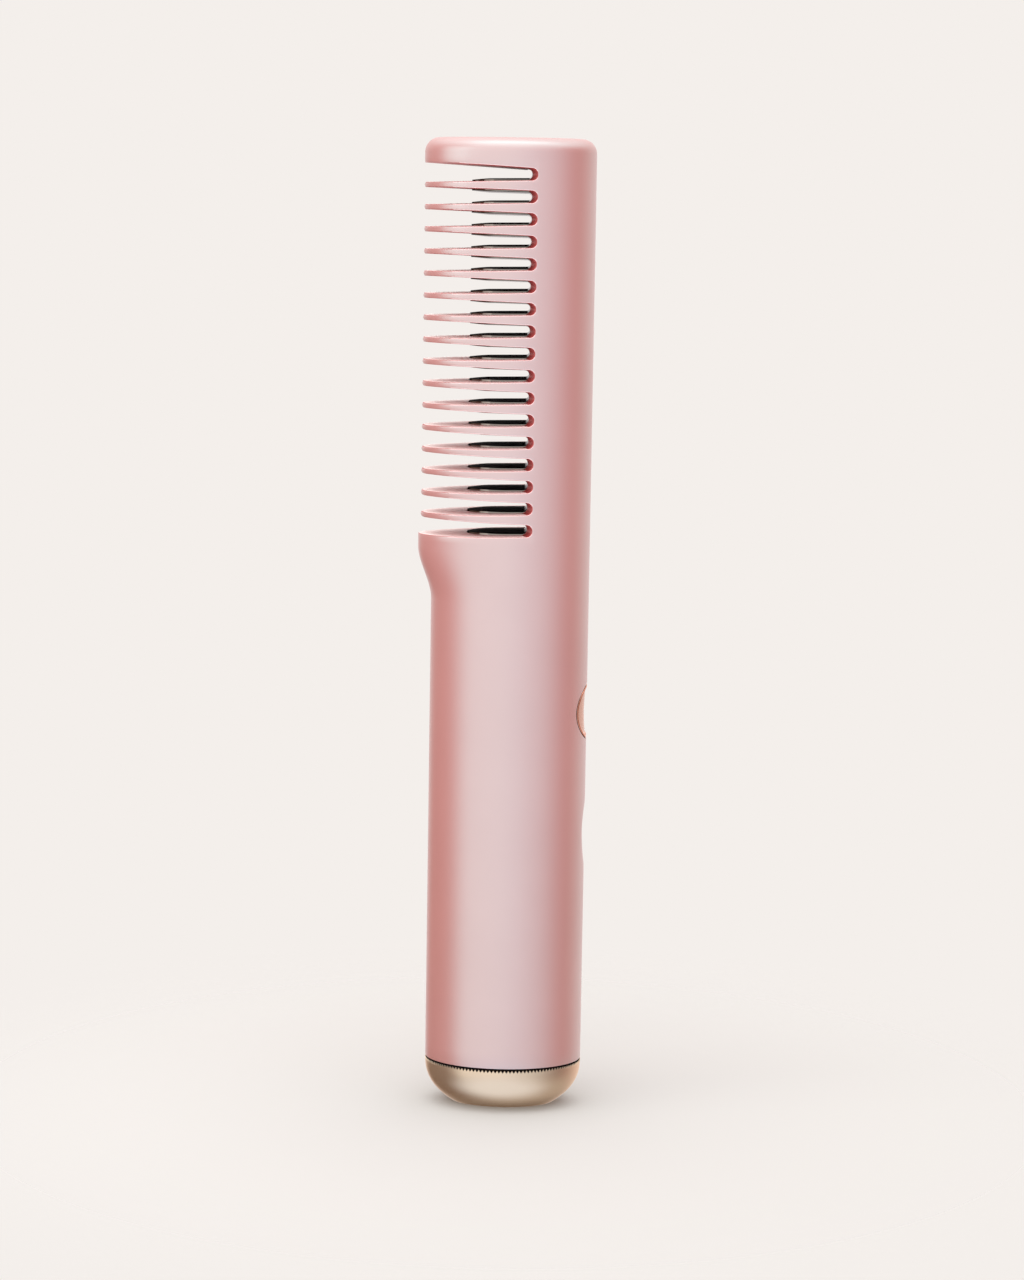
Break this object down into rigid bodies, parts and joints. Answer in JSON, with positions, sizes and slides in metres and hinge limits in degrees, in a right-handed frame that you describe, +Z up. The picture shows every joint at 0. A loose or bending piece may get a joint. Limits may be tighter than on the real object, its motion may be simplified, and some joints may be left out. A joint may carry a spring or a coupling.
{
  "type": "hot comb",
  "caption": "Cordless hot comb: oval battery handle with a side button, toothed shells around a heated metal comb, and a pull-off base cap that it stands on.",
  "frame": {"origin": "centre of the flat foot under the base cap", "axes": "+Z up the handle to the comb's top, -X the way the teeth point, +X the spine with the button, -Y the front"},
  "size_m": [0.0352, 0.024, 0.1997],
  "materials": {
    "rose_casing": "satin metallic pink paint over moulded plastic",
    "polished_casting": "polished dark coated casting",
    "screw_steel": "zinc plated",
    "heater_ceramic": "matt ceramic",
    "carrier_plastic": "matt heat resistant plastic",
    "spring_steel": "rolled spring steel",
    "thermistor_glass": "glass bead",
    "fuse_metal": "bare",
    "wire_sleeve": "silicone insulation",
    "barrier_plastic": "mineral filled plastic",
    "cell_wrap": "steel can in shrink film, mass as aluminium",
    "nickel": "nickel strip",
    "cradle_plastic": "matt",
    "board_laminate": "solder mask",
    "chip_resin": "moulded resin",
    "switch_plastic": "moulded",
    "led_resin": "clear resin",
    "clear_plastic": "clear moulded",
    "rose_gold": "polished rose gold plating",
    "copper_satin": "satin copper plating on plastic",
    "black_plastic": "matt black",
    "seal_rubber": "silicone",
    "socket_steel": "nickel plated",
    "champagne_metal": "satin champagne gold anodised"
  },
  "bodies": {
    "body": {"front_shell": "rose_casing", "rear_shell": "rose_casing", "heating_comb": "polished_casting", "shell_screws": "screw_steel", "clamp_screws": "screw_steel", "board_screws": "screw_steel", "end_screws": "screw_steel", "ptc_heaters": "heater_ceramic", "heater_carrier": "carrier_plastic", "heater_clamp": "spring_steel", "thermistor": "thermistor_glass", "thermal_fuse": "fuse_metal", "heater_wires": "wire_sleeve", "heat_barrier": "barrier_plastic", "battery_cell": "cell_wrap", "battery_tabs": "nickel", "battery_cradle": "cradle_plastic", "main_board": "board_laminate", "charge_board": "board_laminate", "control_chip": "chip_resin", "power_transistor": "chip_resin", "board_connector": "chip_resin", "power_switch": "switch_plastic", "indicator_leds": "led_resin", "light_guide": "clear_plastic", "button_ring": "rose_gold", "end_frame": "black_plastic", "seal_ring": "seal_rubber", "usb_socket": "socket_steel"},
    "button": {"power_button": "copper_satin", "switch_plunger": "switch_plastic"},
    "cap": {"base_cap": "champagne_metal"}
  },
  "joints": [
    {"name": "button_press", "type": "slide", "parent": "body", "child": "button", "axis": [-1, 0, 0], "range_m": [0, 0.0004], "stiffness_N_per_m": 4000},
    {"name": "cap_pull", "type": "slide", "parent": "body", "child": "cap", "axis": [0, 0, -1], "range_m": [0, 0.008]}
  ]
}
